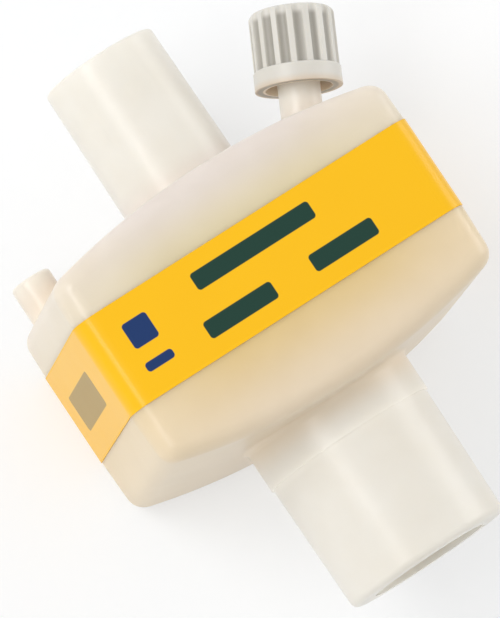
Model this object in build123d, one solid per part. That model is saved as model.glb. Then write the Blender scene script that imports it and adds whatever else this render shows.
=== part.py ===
from build123d import *
from math import radians, sqrt, tan
import os

# A breathing circuit filter lying on its back: a flat box of two moulded half shells,
# welded at mid height under a wrap-round label, with a pleated filter pack sealed inside.
# Every piece is first built standing up, the flow axis along Z, the machine port on top
# and the label's front facing -Y. lay_down() then turns it onto its back.
# Row frame: X along the long side, +X towards the sampling port; Y along the flow axis,
# +Y towards the machine port; Z up. The origin is the centre of the label's back face.

# Housing
housing_length = 47.4
housing_width = 35.8
corner_radius = 2.8
wall = 1.5
land_height = 6.8
wall_draft = 1.6
edge_radius = 2.4
upper_crown = 14.6
upper_arch_rise = 3.0
lower_crown = 16.6
lower_arch_rise = 3.4

# Weld joint between the half shells
lip_height = 1.6
weld_gap = 0.06

# Machine port: 15 mm male cone
cone_taper = 1 / 40
machine_mouth_diameter = 15.05
machine_reach = 18.8
machine_bore = 11.8
machine_lip_round = 0.45

# Patient port: 22 mm male cone outside, 15 mm female cone inside
patient_mouth_diameter = 21.5
patient_cone_length = 17.2
collar_diameter = 22.4
collar_length = 4.7
socket_mouth_diameter = 15.47
socket_depth = 16.0
patient_bore = 12.0
patient_lip_round = 0.9
port_root_round = 0.9

# Gas sampling port: female Luer lock on a leaning stem
luer_offset = 16.5
luer_lean = 27.5
stem_diameter = 5.2
stem_length = 6.4
stem_flare = 0.6
luer_body_diameter = 6.2
luer_body_length = 6.7
luer_mouth_diameter = 4.3
luer_taper = 0.06
luer_depth = 7.0
sampling_bore = 1.8
lug_span = 7.7
lug_width = 3.2
lug_height = 1.7
stem_root_round = 0.8

# Parking post for the sampling cap
post_offset = -20.0
post_setback = 8.6
post_diameter = 5.3
post_height = 4.2
post_bore = 3.0
post_bore_depth = 3.6
post_top_round = 0.5

# Sampling cap
cap_height = 9.6
cap_wall = 1.1
cap_rim_overhang = 0.15
cap_rim_height = 2.3
cap_top_thickness = 1.4
cap_top_round = 0.9
cap_dish_diameter = 6.4
cap_dish_depth = 0.5
grip_rib_count = 16
grip_groove_diameter = 1.5
grip_groove_depth = 0.5
skirt_clearance = 0.25
plug_clearance = 0.1
plug_length = 6.2
cap_seat_gap = 0.3

# Flow ribs inside both half shells
rib_thickness = 1.3
rib_spacing = 9.4
rib_count = 3
rib_clear_radius = 10.5

# Pleated pack and its seal
pleat_height = 13.0
sheet_thickness = 0.5
leg_count = 26
seal_thickness = 1.1

# Label
label_thickness = 0.12
label_height = 12.3
label_overlap = 9.0

rest_height = housing_width / 2 + label_thickness
luer_top = stem_length + luer_body_length
skirt_diameter = lug_span + 2 * skirt_clearance


def lay_down(shape):
    """Turn a standing piece onto its back, with the label's back face on z = 0."""
    return Pos(0, 0, rest_height) * Rot(-90, 0, 0) * shape


def turned(*points):
    """Solid of revolution about Z from (radius, height) points."""
    return revolve(Plane.XZ * make_face(Polyline(*points, close=True)), Axis.Z)


def plan_outline(inset):
    """Plan outline of the housing, moved inwards by inset."""
    return RectangleRounded(
        housing_length - 2 * inset,
        housing_width - 2 * inset,
        corner_radius - inset,
    )


def arch_radius(rise):
    """Radius of an arc that drops by rise at half the housing's length."""
    return ((housing_length / 2) ** 2 + rise**2) / (2 * rise)


def arch_height(crown, rise, offset):
    """Height of the arch at a distance from the middle."""
    radius = arch_radius(rise)
    return crown - radius + sqrt(radius**2 - offset**2)


def half_block(crown, rise, inset):
    """One half as a solid above the weld plane: straight land, drafted wall, arched end."""
    radius = arch_radius(rise)
    drafted_height = crown - land_height
    land = extrude(plan_outline(inset), amount=land_height)
    walls = extrude(Pos(0, 0, land_height) * plan_outline(inset), amount=drafted_height, taper=wall_draft)
    barrel = Pos(0, 0, crown - radius) * Rot(90, 0, 0) * Cylinder(radius - inset, 2 * housing_width)
    block = (land + walls) & barrel
    corner_left = corner_radius - drafted_height * tan(radians(wall_draft))
    edge = min(edge_radius, 0.9 * corner_left) - inset
    return fillet(block.faces().sort_by(Axis.Z)[-1].edges(), edge)


def upper_block(inset):
    """Machine side half of the housing as a solid, moved inwards by inset."""
    return half_block(upper_crown, upper_arch_rise, inset)


def lower_block(inset):
    """Patient side half as a solid, built with its port upwards."""
    return half_block(lower_crown, lower_arch_rise, inset)


def weld_lip():
    """Raised inner lip of the lower shell, half a wall thick."""
    return extrude(plan_outline(wall / 2 + weld_gap) - plan_outline(wall), amount=-lip_height)


def weld_rebate():
    """Step in the upper shell's inner edge that takes the lip."""
    return extrude(plan_outline(wall / 2), amount=lip_height + weld_gap)


def flow_ribs(crown, block):
    """Ribs along the arch that hold the pleats off the port and spread the flow."""
    tip = pleat_height / 2
    bar = Box(housing_length, rib_thickness, crown - tip, align=(Align.CENTER, Align.CENTER, Align.MIN))
    first = -rib_spacing * (rib_count - 1) / 2
    ribs = Part() + [Pos(0, first + rib_spacing * i, tip) * bar for i in range(rib_count)]
    return (ribs & block) - Cylinder(rib_clear_radius, 4 * crown)


def root_edges(shape, place, radius, reach):
    """Edges of shape where a stem of that radius, standing at place, meets the shell."""
    found = []
    for edge in shape.edges():
        points = [place.inverse() * Pos(edge @ (i / 4)) for i in range(4)]
        spans = [sqrt(p.position.X**2 + p.position.Y**2) - radius for p in points]
        heights = [abs(p.position.Z) for p in points]
        if max(map(abs, spans)) < 0.08 and max(heights) < reach:
            found.append(edge)
    return found


def machine_cone():
    """Outside of the 15 mm male cone with its rounded mouth."""
    foot = arch_height(upper_crown, upper_arch_rise, machine_mouth_diameter / 2) - wall / 2
    mouth = upper_crown + machine_reach
    mouth_radius = machine_mouth_diameter / 2
    foot_radius = mouth_radius + (mouth - foot) * cone_taper / 2
    cone = turned((0, foot), (foot_radius, foot), (mouth_radius, mouth), (0, mouth))
    return fillet(cone.edges().sort_by(Axis.Z)[-1], machine_lip_round)


def luer_place():
    """Foot of the sampling stem on the arched roof, leaning outwards."""
    foot = arch_height(upper_crown, upper_arch_rise, luer_offset)
    return Pos(luer_offset, 0, foot) * Rot(0, luer_lean, 0)


def luer_stem():
    """Narrow stem, flaring into the Luer body."""
    neck = stem_diameter / 2
    body = luer_body_diameter / 2
    return turned(
        (0, -2 * wall),
        (neck, -2 * wall),
        (neck, stem_length - stem_flare),
        (body, stem_length),
        (body, luer_top),
        (0, luer_top),
    )


def luer_lugs():
    """Two lock lugs at the mouth of the Luer body."""
    bar = Box(lug_span, lug_width, lug_height, align=(Align.CENTER, Align.CENTER, Align.MAX))
    ring = Cylinder(lug_span / 2, lug_height, align=(Align.CENTER, Align.CENTER, Align.MAX))
    return Pos(0, 0, luer_top) * Rot(0, 0, 90) * (bar & ring)


def luer_bore():
    """Six per cent female cone, then the narrow sampling hole into the chamber."""
    mouth = luer_mouth_diameter / 2
    end = mouth - luer_depth * luer_taper / 2
    hole = sampling_bore / 2
    return turned(
        (0, -4 * wall),
        (hole, -4 * wall),
        (hole, luer_top - luer_depth),
        (end, luer_top - luer_depth),
        (mouth, luer_top),
        (0, luer_top),
    )


def post_place():
    """Foot of the parking post on the arched roof."""
    return Pos(post_offset, post_setback, arch_height(upper_crown, upper_arch_rise, post_offset))


def parking_post():
    """Hollow peg that the sampling cap is pushed onto while the port is in use."""
    sunk = edge_radius
    peg = Cylinder(post_diameter / 2, post_height + sunk, align=(Align.CENTER, Align.CENTER, Align.MIN))
    peg = fillet(peg.edges().sort_by(Axis.Z)[-1], post_top_round)
    hole = Cylinder(post_bore / 2, post_bore_depth, align=(Align.CENTER, Align.CENTER, Align.MAX))
    return Pos(0, 0, -sunk) * peg - Pos(0, 0, post_height) * hole


def upper_housing():
    """Machine side shell with the 15 mm cone, the sampling port and the parking post."""
    cavity = upper_block(wall)
    shell = upper_block(0) - cavity - weld_rebate()
    shell += flow_ribs(upper_crown, upper_block(wall / 2))
    shell += machine_cone() - cavity
    shell += luer_place() * luer_stem() - cavity
    shell += post_place() * parking_post() - cavity
    foot_radius = machine_mouth_diameter / 2 + machine_reach * cone_taper / 2
    shell = fillet(root_edges(shell, Pos(0, 0, upper_crown), foot_radius, 1.0), port_root_round)
    shell = fillet(root_edges(shell, luer_place(), stem_diameter / 2, stem_diameter / 2), stem_root_round)
    shell += luer_place() * luer_lugs()
    shell -= luer_place() * luer_bore()
    return shell - Pos(0, 0, upper_crown) * Cylinder(machine_bore / 2, 3 * machine_reach)


def patient_cone():
    """Collar and 22 mm male cone with a rounded mouth, pointing up."""
    collar = collar_diameter / 2
    foot = arch_height(lower_crown, lower_arch_rise, collar) - wall / 2
    step = lower_crown + collar_length
    mouth = step + patient_cone_length
    mouth_radius = patient_mouth_diameter / 2
    step_radius = mouth_radius + patient_cone_length * cone_taper / 2
    cone = turned(
        (0, foot),
        (collar, foot),
        (collar, step),
        (step_radius, step),
        (mouth_radius, mouth),
        (0, mouth),
    )
    return fillet(cone.edges().sort_by(Axis.Z)[-1], patient_lip_round)


def patient_socket():
    """Fifteen millimetre female cone with the through bore behind its stop."""
    mouth = lower_crown + collar_length + patient_cone_length
    mouth_radius = socket_mouth_diameter / 2
    stop_radius = mouth_radius - socket_depth * cone_taper / 2
    bore = patient_bore / 2
    return turned(
        (0, 0),
        (bore, 0),
        (bore, mouth - socket_depth),
        (stop_radius, mouth - socket_depth),
        (mouth_radius, mouth),
        (0, mouth),
    )


def lower_housing():
    """Patient side shell with the 22 mm male and 15 mm female cone, and the weld lip."""
    cavity = lower_block(wall)
    shell = lower_block(0) - cavity
    shell += flow_ribs(lower_crown, lower_block(wall / 2))
    shell += patient_cone() - cavity
    shell = fillet(root_edges(shell, Pos(0, 0, lower_crown), collar_diameter / 2, 1.5), port_root_round)
    shell -= patient_socket()
    return Rot(180, 0, 0) * (shell + weld_lip())


def pack_length():
    """Inside length of the seal."""
    return housing_length - 2 * wall - 2 * seal_thickness


def pack_width():
    """Inside width of the seal."""
    return housing_width - 2 * wall - 2 * seal_thickness


def edge_seal():
    """Cast bead of adhesive round the pleated pack, filling the gap to the housing wall."""
    ring = plan_outline(wall) - Rectangle(pack_length(), pack_width())
    return extrude(ring, amount=pleat_height / 2, both=True)


def pleat_side(side):
    """One face of the folded sheet as a chain of edges, from the first leg to the last."""
    pitch = (pack_length() - sheet_thickness) / (leg_count - 1)
    first = -(pack_length() - sheet_thickness) / 2
    bend = pitch / 2
    straight = pleat_height / 2 - sheet_thickness / 2 - bend
    edges = []
    for i in range(leg_count):
        up = 1 if i % 2 == 0 else -1
        centre = first + pitch * i
        face = centre - side * up * sheet_thickness / 2
        edges.append(Line((face, -up * straight), (face, up * straight)))
        if i < leg_count - 1:
            radius = bend + side * up * sheet_thickness / 2
            middle = centre + bend
            edges.append(
                ThreePointArc(
                    (middle - radius, up * straight),
                    (middle, up * (straight + radius)),
                    (middle + radius, up * straight),
                )
            )
    return edges


def filter_media():
    """Pleated sheet, folded from one strip, its last legs bonded to the seal."""
    outer = pleat_side(1)
    inner = pleat_side(-1)
    caps = [Line(outer[0] @ 0, inner[0] @ 0), Line(outer[-1] @ 1, inner[-1] @ 1)]
    profile = make_face(outer + inner + caps)
    return extrude(Plane.XZ * profile, amount=pack_width() / 2, both=True)


def label():
    """Printed film round the weld, its ends overlapping on the sampling port side."""
    film = plan_outline(-label_thickness) - plan_outline(0)
    seam = Pos(housing_length / 2 + 1.5 * label_thickness, 0) * Rectangle(label_thickness, label_overlap)
    return extrude(film + seam, amount=label_height / 2, both=True)


def grip_groove(radius, angle):
    """One upright groove between two grip ribs, closed at its lower end by the rim."""
    middle = radius + grip_groove_diameter / 2 - grip_groove_depth
    groove = Cylinder(grip_groove_diameter / 2, cap_height, align=(Align.CENTER, Align.CENTER, Align.MIN))
    return Rot(0, 0, angle) * Pos(middle, 0, cap_rim_height) * groove


def cap_outside():
    """Ribbed grip above a plain rim."""
    grip = skirt_diameter / 2 + cap_wall
    rim = grip + cap_rim_overhang
    body = turned(
        (0, 0),
        (rim, 0),
        (rim, cap_rim_height - (rim - grip)),
        (grip, cap_rim_height),
        (grip, cap_height),
        (0, cap_height),
    )
    body = fillet(body.edges().sort_by(Axis.Z)[-1], cap_top_round)
    step = 360 / grip_rib_count
    return body - [grip_groove(grip, step * i) for i in range(grip_rib_count)]


def cap_place():
    """Cap seated on the sampling port, its ceiling a small gap above the Luer mouth."""
    skirt_depth = cap_height - cap_top_thickness
    return luer_place() * Pos(0, 0, luer_top + cap_seat_gap - skirt_depth)


def luer_cap():
    """Screw cap with a central male plug."""
    skirt_depth = cap_height - cap_top_thickness
    skirt = Cylinder(skirt_diameter / 2, skirt_depth, align=(Align.CENTER, Align.CENTER, Align.MIN))
    root = luer_mouth_diameter / 2 - plug_clearance + cap_seat_gap * luer_taper / 2
    tip = root - plug_length * luer_taper / 2
    plug = turned(
        (0, skirt_depth - plug_length),
        (tip, skirt_depth - plug_length),
        (root, skirt_depth),
        (0, skirt_depth),
    )
    dish = Cylinder(cap_dish_diameter / 2, cap_dish_depth, align=(Align.CENTER, Align.CENTER, Align.MAX))
    return cap_outside() - skirt + plug - Pos(0, 0, cap_height) * dish


pieces = {
    "upper_housing": upper_housing(),
    "lower_housing": lower_housing(),
    "filter_media": filter_media(),
    "edge_seal": edge_seal(),
    "label": label(),
    "luer_cap": cap_place() * luer_cap(),
}
os.makedirs("parts", exist_ok=True)
for name, piece in pieces.items():
    export_step(lay_down(piece), f"parts/{name}.step")
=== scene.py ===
from math import cos, radians, sin

import bpy
from mathutils import Matrix, Vector


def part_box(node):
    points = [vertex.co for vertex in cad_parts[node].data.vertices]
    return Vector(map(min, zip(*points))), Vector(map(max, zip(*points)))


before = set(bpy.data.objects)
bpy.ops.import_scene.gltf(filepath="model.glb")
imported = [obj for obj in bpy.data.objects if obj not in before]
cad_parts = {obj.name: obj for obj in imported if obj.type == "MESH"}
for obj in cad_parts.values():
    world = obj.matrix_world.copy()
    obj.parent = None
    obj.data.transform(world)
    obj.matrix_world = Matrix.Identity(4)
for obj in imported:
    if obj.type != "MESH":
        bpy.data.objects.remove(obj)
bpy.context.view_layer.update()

# Lengths are in metres and angles in degrees, in the row frame: X along the long side,
# Y along the flow axis towards the machine port, Z up out of the label's front.

MM = 0.001

# Photograph and camera
PHOTO_HEIGHT = 618
SENSOR_MM = 36.0
FOCAL_PIXELS = 7550
CAMERA_DISTANCE = 0.905
CAMERA_YAW = 12.5
CAMERA_DIP = 5.3
CAMERA_CLIP = 0.05
OBJECT_ROLL = 33.7
AIM_RIGHT = -1.23 * MM
AIM_UP = -1.51 * MM

# Housing
AXIS_HEIGHT = 18.02 * MM
UPPER_CROWN = 14.6 * MM
LOWER_CROWN = 16.6 * MM
MACHINE_MOUTH = 33.4 * MM
PATIENT_MOUTH = 38.5 * MM
ZONE_INSET = 1 * MM
END_LIGHT_START = 8 * MM
END_LIGHT_FULL = 24 * MM
PORT_BLEND = 4 * MM
WEAR_START = 14 * MM
WEAR_FULL = 2 * MM

# Label
FRONT_HEIGHT = 36.04 * MM
BAND_EDGE = 6.15 * MM
RUBBED_WIDTH = 0.35 * MM
PRINT_REACH = 2 * MM
PRINT_SOFTNESS = 0.12 * MM
BAR_CORNER = 0.45 * MM
BLOCK_CORNER = 0.6 * MM
BLOCK_PLACE = (-23.8 * MM, -0.3 * MM, 17 * MM)
BLOCK_HALF = (1 * MM, 2.4 * MM, 9 * MM)

# Luer cap, with heights from its middle along its axis
CAP_LEAN = 27.5
CAP_GRIP_RADIUS = 5.2 * MM
CAP_GROOVE_LIP = 0.05 * MM
CAP_GROOVE_DEPTH = 0.45 * MM
CAP_GROOVE_END = 4.4 * MM
CAP_GROOVE_FULL = 3.6 * MM
CAP_FOOT_TOP = -3.5 * MM
CAP_FOOT_BOTTOM = -4.7 * MM
CAP_BORE_RADIUS = 4.1 * MM
CAP_BORE_FULL = 0.05 * MM
CAP_BORE_FADE = 0.25 * MM
CAP_BORE_TOP = 3.4 * MM
CAP_BORE_TOP_FADE = 0.4 * MM

# Studio
FLOOR_HALF = 3.0
FLOOR_DROP = 0.02 * MM
FLOOR_GLOW = 0.5
WORLD_STRENGTH = 0.64
# Each lamp's name, direction from the housing, distance, diameter and watts
LAMPS = (
    ("key", (-0.46, 0.5, 0.75), 0.9, 0.5, 2.7),
    ("side", (-0.62, 0.1, 0.78), 0.9, 0.3, 1.0),
    ("low", (1.0, -0.12, 0.24), 0.8, 0.54, 1.7),
)


def srgb(red, green, blue):
    """Linear colour from display values of 0 to 255."""
    def linear(value):
        value = value / 255
        return value / 12.92 if value <= 0.04045 else ((value + 0.055) / 1.055) ** 2.4
    return (linear(red), linear(green), linear(blue), 1.0)


def make_camera():
    """Camera at the photo's angle: left of the label, below the flow axis, rolled."""
    yaw = radians(CAMERA_YAW)
    dip = radians(CAMERA_DIP)
    towards = Vector((-sin(yaw) * cos(dip), -sin(dip), cos(yaw) * cos(dip)))
    right = Vector((cos(yaw), 0, sin(yaw)))
    up = towards.cross(right)
    centre = Vector((0, 0, AXIS_HEIGHT))
    place = centre + towards * CAMERA_DISTANCE
    aim = centre + right * AIM_RIGHT + up * AIM_UP
    back = (place - aim).normalized()
    side = (right - back * right.dot(back)).normalized()
    top = back.cross(side)
    roll = radians(OBJECT_ROLL)
    across = side * cos(roll) - top * sin(roll)
    upright = side * sin(roll) + top * cos(roll)
    data = bpy.data.cameras.new("camera")
    data.sensor_width = SENSOR_MM
    data.lens = FOCAL_PIXELS * SENSOR_MM / PHOTO_HEIGHT
    data.clip_start = CAMERA_CLIP
    camera = bpy.data.objects.new("camera", data)
    bpy.context.scene.collection.objects.link(camera)
    turn = Matrix((across, upright, back)).transposed().to_4x4()
    camera.matrix_world = Matrix.Translation(place) @ turn
    bpy.context.scene.camera = camera


# Node tree helpers

def new_material(name):
    """New material, its node tree and its Principled shader."""
    material = bpy.data.materials.new(name)
    material.use_nodes = True
    return material, material.node_tree, material.node_tree.nodes["Principled BSDF"]


def fill(tree, node, inputs):
    """Set inputs by name or number, or link them where the value is another output."""
    for key, value in inputs.items():
        if isinstance(value, bpy.types.NodeSocket):
            tree.links.new(value, node.inputs[key])
        else:
            node.inputs[key].default_value = value


def add(tree, kind, inputs, **settings):
    """New node with its settings and inputs."""
    made = tree.nodes.new(kind)
    for name, value in settings.items():
        setattr(made, name, value)
    fill(tree, made, inputs)
    return made


def calc(tree, operation, a, b=0.0):
    return add(tree, "ShaderNodeMath", {0: a, 1: b}, operation=operation).outputs[0]


def calc_vector(tree, operation, a, b=(0, 0, 0)):
    made = add(tree, "ShaderNodeVectorMath", {0: a, 1: b}, operation=operation)
    return made.outputs["Value" if operation in ("LENGTH", "DOT_PRODUCT") else "Vector"]


def step(tree, value, low, high):
    """Smooth step from 0 at low to 1 at high. With low above high it falls instead."""
    inputs = {"Value": value, "From Min": low, "From Max": high}
    if low > high:
        inputs.update({"From Min": high, "From Max": low, "To Min": 1.0, "To Max": 0.0})
    made = add(tree, "ShaderNodeMapRange", inputs, interpolation_type="SMOOTHSTEP")
    return made.outputs[0]


def spread(tree, value, low, high):
    """Straight change from low at 0 to high at 1."""
    inputs = {"Value": value, "To Min": low, "To Max": high}
    return add(tree, "ShaderNodeMapRange", inputs).outputs[0]


def tint(tree, factor, a, b, mode="MIX"):
    """Colour that goes from a to b."""
    inputs = {0: factor, 6: a, 7: b}
    made = add(tree, "ShaderNodeMix", inputs, data_type="RGBA", blend_type=mode)
    return made.outputs[2]


def noise(tree, place, scale, detail):
    """Noise from 0 to 1. The scale is in grains per metre."""
    inputs = {"Vector": place, "Scale": scale, "Detail": detail}
    return add(tree, "ShaderNodeTexNoise", inputs).outputs["Fac"]


def bump(tree, height, distance, over=None):
    """Normal from a height of 0 to 1 over that distance, on top of another normal."""
    inputs = {"Height": height, "Distance": distance}
    if over is not None:
        inputs["Normal"] = over
    return add(tree, "ShaderNodeBump", inputs).outputs["Normal"]


def object_place(tree):
    return add(tree, "ShaderNodeTexCoord", {}).outputs["Object"]


def split(tree, vector):
    """The vector's X and Y."""
    made = add(tree, "ShaderNodeSeparateXYZ", {0: vector})
    return made.outputs[0], made.outputs[1]


def rounded_box(tree, place, centre, half, radius):
    """1 inside a box with rounded edges and 0 outside, with the print's soft edge."""
    away = calc_vector(tree, "ABSOLUTE", calc_vector(tree, "SUBTRACT", place, centre))
    core = tuple(side - radius for side in half)
    outside = calc_vector(tree, "MAXIMUM", calc_vector(tree, "SUBTRACT", away, core))
    distance = calc_vector(tree, "LENGTH", outside)
    soft = PRINT_SOFTNESS / 2
    return step(tree, distance, radius + soft, radius - soft)


def scatter(shader, weight, radius, scale):
    """Let light go some way into a material."""
    shader.inputs["Subsurface Weight"].default_value = weight
    shader.inputs["Subsurface Radius"].default_value = radius
    shader.inputs["Subsurface Scale"].default_value = scale


# Materials

def shell_material(name, crown, mouth, body, painted_band_glow, pale, port):
    """Milky moulded plastic, paler out along the port, with a painted warm glow and
    shade beside the yellow band and painted light towards both ends.
    """
    material, tree, shader = new_material(name)
    place = object_place(tree)
    x, y = split(tree, place)
    along = calc(tree, "ABSOLUTE", y)

    # Painted light and shade: a warm yellow glow, darker than the body, beside the
    # yellow band
    band_glow_mask = step(tree, along, crown - ZONE_INSET, BAND_EDGE - ZONE_INSET)
    # Painted light: paler towards both ends of the housing
    end_light_mask = step(tree, calc(tree, "ABSOLUTE", x), END_LIGHT_START, END_LIGHT_FULL)
    on_port = step(tree, along, crown - ZONE_INSET, crown + PORT_BLEND)
    colour = tint(tree, band_glow_mask, body, painted_band_glow)
    colour = tint(tree, calc(tree, "MULTIPLY", end_light_mask, 0.7), colour, pale)
    colour = tint(tree, on_port, colour, port)
    clouds = noise(tree, place, 140, 2)
    mottle = tint(tree, clouds, srgb(246, 243, 237), srgb(255, 255, 255))
    colour = tint(tree, 1.0, colour, mottle, "MULTIPLY")

    # Rings left on the cones by connectors that are pushed on and twisted off
    rings = add(tree, "ShaderNodeCombineXYZ", {1: y}).outputs[0]
    scuffs = step(tree, noise(tree, rings, 5200, 3), 0.5, 0.75)
    near_mouth = step(tree, along, mouth - WEAR_START, mouth - WEAR_FULL)
    worn = calc(tree, "MULTIPLY", scuffs, near_mouth)
    rough = spread(tree, noise(tree, place, 130, 1), 0.28, 0.34)
    rough = calc(tree, "ADD", rough, calc(tree, "MULTIPLY", worn, 0.1))

    grain = bump(tree, noise(tree, place, 1800, 1), 0.0008 * MM)
    waves = bump(tree, noise(tree, place, 220, 1), 0.03 * MM, over=grain)
    fill(tree, shader, {
        "Base Color": colour,
        "Roughness": rough,
        "Normal": bump(tree, worn, 0.002 * MM, over=waves),
        "Transmission Weight": calc(tree, "MULTIPLY", on_port, 0.12),
    })
    shader.subsurface_method = "BURLEY"
    scatter(shader, 0.7, (1.0, 0.93, 0.82), 2.5 * MM)
    return material


def label_material():
    """Glossy yellow film with a generic print of dark green and navy bars."""
    material, tree, shader = new_material("label")
    place = object_place(tree)
    y = split(tree, place)[1]
    colour = tint(tree, noise(tree, place, 60, 2), srgb(252, 194, 0), srgb(250, 189, 0))

    # Each bar's middle and half size in millimetres, and its colour
    green = srgb(14, 58, 46)
    navy = srgb(12, 50, 104)
    bars = (
        ((-0.7, 2.9), (8.4, 1.15), green),
        ((-6.2, -2.75), (4.8, 1.15), green),
        ((8.5, -2.75), (4.5, 1.15), green),
        ((-17.6, 1.6), (1.7, 1.7), navy),
        ((-17.6, -2.6), (1.9, 0.6), navy),
    )
    masks = []
    for centre, half, shade in bars:
        spot = (centre[0] * MM, centre[1] * MM, FRONT_HEIGHT)
        size = (half[0] * MM, half[1] * MM, PRINT_REACH)
        masks.append(rounded_box(tree, place, spot, size, BAR_CORNER))
        colour = tint(tree, masks[-1], colour, shade)

    # A faint grey block in the middle of the left-hand end
    masks.append(rounded_box(tree, place, BLOCK_PLACE, BLOCK_HALF, BLOCK_CORNER))
    faint = calc(tree, "MULTIPLY", masks[-1], 0.85)
    colour = tint(tree, faint, colour, srgb(150, 128, 70))

    ink = masks[0]
    for mask in masks[1:]:
        ink = calc(tree, "MAXIMUM", ink, mask)

    # Rubbed a little duller along both edges of the film
    edge = step(tree, calc(tree, "ABSOLUTE", y), BAND_EDGE - RUBBED_WIDTH, BAND_EDGE)
    rubbed = calc(tree, "MULTIPLY", edge, noise(tree, place, 1500, 2))
    rough = spread(tree, noise(tree, place, 130, 1), 0.36, 0.42)
    rough = calc(tree, "ADD", rough, calc(tree, "MULTIPLY", ink, 0.08))
    rough = calc(tree, "ADD", rough, calc(tree, "MULTIPLY", rubbed, 0.3))

    ripple = bump(tree, noise(tree, place, 260, 1), 0.05 * MM)
    fibre = bump(tree, noise(tree, place, 3000, 2), 0.002 * MM, over=ripple)
    fill(tree, shader, {
        "Base Color": colour,
        "Roughness": rough,
        "Normal": bump(tree, ink, 0.01 * MM, over=fibre),
        "Specular IOR Level": 0.25,
        "Coat Weight": 0.25,
        "Coat Roughness": 0.12,
    })
    return material


def cap_axis():
    """Unit vector along the cap, out of its closed end."""
    lean = radians(CAP_LEAN)
    return (sin(lean), cos(lean), 0.0)


def cap_material():
    """Grey-white grip, with darker painted shade in its grooves, warm painted shade at
    its foot and warm painted light in its bore.
    """
    material, tree, shader = new_material("luer_cap")
    place = object_place(tree)
    low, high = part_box("luer_cap")
    centre = tuple((a + b) / 2 for a, b in zip(low, high))
    axis = cap_axis()
    away = calc_vector(tree, "SUBTRACT", place, centre)
    height = calc_vector(tree, "DOT_PRODUCT", away, axis)
    radius = calc_vector(tree, "LENGTH", calc_vector(tree, "CROSS_PRODUCT", away, axis))

    # Painted shade in the grooves of the grip
    groove_lip = CAP_GRIP_RADIUS - CAP_GROOVE_LIP
    groove_shade = step(tree, radius, groove_lip, CAP_GRIP_RADIUS - CAP_GROOVE_DEPTH)
    on_grip = step(tree, height, CAP_GROOVE_END, CAP_GROOVE_FULL)
    groove_shade = calc(tree, "MULTIPLY", groove_shade, on_grip)
    # Painted shade: warm and darker round the foot of the cap, where its underside is
    # in shadow
    foot_shade = step(tree, height, CAP_FOOT_TOP, CAP_FOOT_BOTTOM)
    # Painted light: warm and pale inside the bore of the skirt, lifting the shade in
    # the cavity
    bore_fade = CAP_BORE_RADIUS + CAP_BORE_FADE
    bore_light = step(tree, radius, bore_fade, CAP_BORE_RADIUS + CAP_BORE_FULL)
    in_skirt = step(tree, height, CAP_BORE_TOP + CAP_BORE_TOP_FADE, CAP_BORE_TOP)
    bore_light = calc(tree, "MULTIPLY", bore_light, in_skirt)

    mottle = noise(tree, place, 300, 2)
    colour = tint(tree, mottle, srgb(215, 212, 204), srgb(222, 219, 212))
    foot_shade = calc(tree, "MULTIPLY", foot_shade, 0.6)
    colour = tint(tree, foot_shade, colour, srgb(210, 186, 156))
    groove_shade = calc(tree, "MULTIPLY", groove_shade, 0.75)
    colour = tint(tree, groove_shade, colour, srgb(152, 147, 136))
    colour = tint(tree, bore_light, colour, srgb(248, 231, 210))

    fill(tree, shader, {
        "Base Color": colour,
        "Roughness": spread(tree, noise(tree, place, 300, 1), 0.36, 0.44),
        "Normal": bump(tree, noise(tree, place, 5200, 2), 0.015 * MM),
    })
    scatter(shader, 0.35, (1.0, 0.9, 0.75), 0.9 * MM)
    return material


def media_material():
    """Matted white fibre with a loose, uneven surface."""
    material, tree, shader = new_material("filter_media")
    place = object_place(tree)
    tufts = noise(tree, place, 700, 3)
    fill(tree, shader, {
        "Base Color": tint(tree, tufts, srgb(240, 238, 230), srgb(250, 249, 245)),
        "Roughness": spread(tree, tufts, 0.85, 1.0),
        "Normal": bump(tree, noise(tree, place, 3800, 6), 0.12 * MM),
    })
    return material


def seal_material():
    """Cast adhesive, cream and a little clear, with a wavy surface where it set."""
    material, tree, shader = new_material("edge_seal")
    flow = noise(tree, object_place(tree), 420, 2)
    fill(tree, shader, {
        "Base Color": tint(tree, flow, srgb(233, 222, 196), srgb(242, 234, 214)),
        "Roughness": spread(tree, flow, 0.28, 0.42),
        "Normal": bump(tree, flow, 0.15 * MM),
    })
    scatter(shader, 0.5, (1.0, 0.85, 0.6), 1 * MM)
    return material


def dress(name, material):
    """Give a CAD node its material."""
    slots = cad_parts[name].data.materials
    slots.clear()
    slots.append(material)


# Studio

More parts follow.
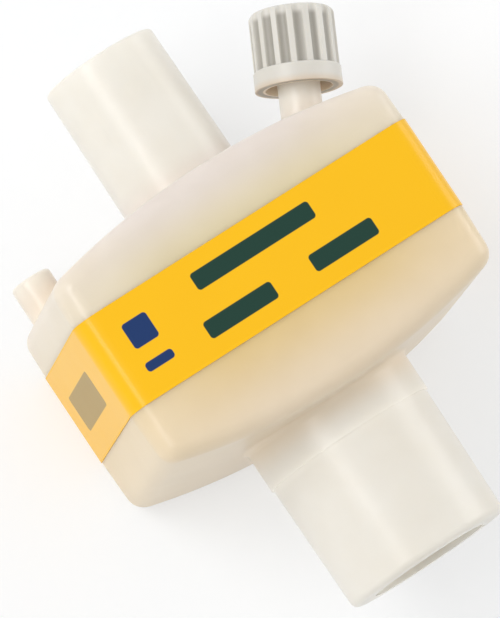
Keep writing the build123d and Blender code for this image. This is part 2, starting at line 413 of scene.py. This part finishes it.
def floor_material():
    """White sheet with some light of its own, so that the shadow on it stays pale."""
    material, tree, shader = new_material("floor")
    fill(tree, shader, {"Base Color": srgb(251, 253, 255), "Roughness": 0.9})
    rays = add(tree, "ShaderNodeLightPath", {}).outputs
    seen = calc(tree, "MAXIMUM", rays["Is Camera Ray"], rays["Is Glossy Ray"])
    seen = calc(tree, "MAXIMUM", seen, rays["Is Transmission Ray"])
    white = {"Color": srgb(255, 255, 255), "Strength": 1.0}
    glow = add(tree, "ShaderNodeEmission", white)
    share = calc(tree, "MULTIPLY", seen, FLOOR_GLOW)
    ends = {0: share, 1: shader.outputs[0], 2: glow.outputs[0]}
    mix = add(tree, "ShaderNodeMixShader", ends)
    fill(tree, tree.nodes["Material Output"], {"Surface": mix.outputs[0]})
    return material


def make_floor():
    """Floor a hair below the label's back, so that the two don't share a plane."""
    mesh = bpy.data.meshes.new("floor")
    signs = ((-1, -1), (1, -1), (1, 1), (-1, 1))
    corners = [(x * FLOOR_HALF, y * FLOOR_HALF, -FLOOR_DROP) for x, y in signs]
    mesh.from_pydata(corners, [], [(0, 1, 2, 3)])
    mesh.materials.append(floor_material())
    sheet = bpy.data.objects.new("floor", mesh)
    bpy.context.scene.collection.objects.link(sheet)


def make_world():
    """Even white light from all round."""
    world = bpy.data.worlds.new("world")
    world.use_nodes = True
    background = world.node_tree.nodes["Background"]
    light = {"Color": (1, 1, 1, 1), "Strength": WORLD_STRENGTH}
    fill(world.node_tree, background, light)
    bpy.context.scene.world = world


def softbox(name, direction, distance, size, power):
    """Round lamp that faces the housing from that direction."""
    data = bpy.data.lights.new(name, "AREA")
    data.shape = "DISK"
    data.size = size
    data.energy = power
    towards = Vector(direction).normalized()
    lamp = bpy.data.objects.new(name, data)
    lamp.location = Vector((0, 0, AXIS_HEIGHT)) + towards * distance
    lamp.rotation_euler = towards.to_track_quat("Z", "Y").to_euler()
    bpy.context.scene.collection.objects.link(lamp)


make_camera()
bpy.context.scene.view_settings.view_transform = "Standard"
make_floor()
make_world()
for lamp in LAMPS:
    softbox(*lamp)

# Colours of a shell: its body, its painted glow and shade beside the label, its painted
# light at its ends, and its port
dress("upper_housing", shell_material(
    "upper_housing", UPPER_CROWN, MACHINE_MOUTH,
    srgb(231, 221, 214), srgb(226, 212, 172), srgb(240, 229, 212), srgb(250, 247, 239),
))
dress("lower_housing", shell_material(
    "lower_housing", LOWER_CROWN, PATIENT_MOUTH,
    srgb(234, 217, 192), srgb(229, 201, 142), srgb(240, 222, 192), srgb(250, 246, 237),
))
dress("label", label_material())
dress("luer_cap", cap_material())
dress("filter_media", media_material())
dress("edge_seal", seal_material())
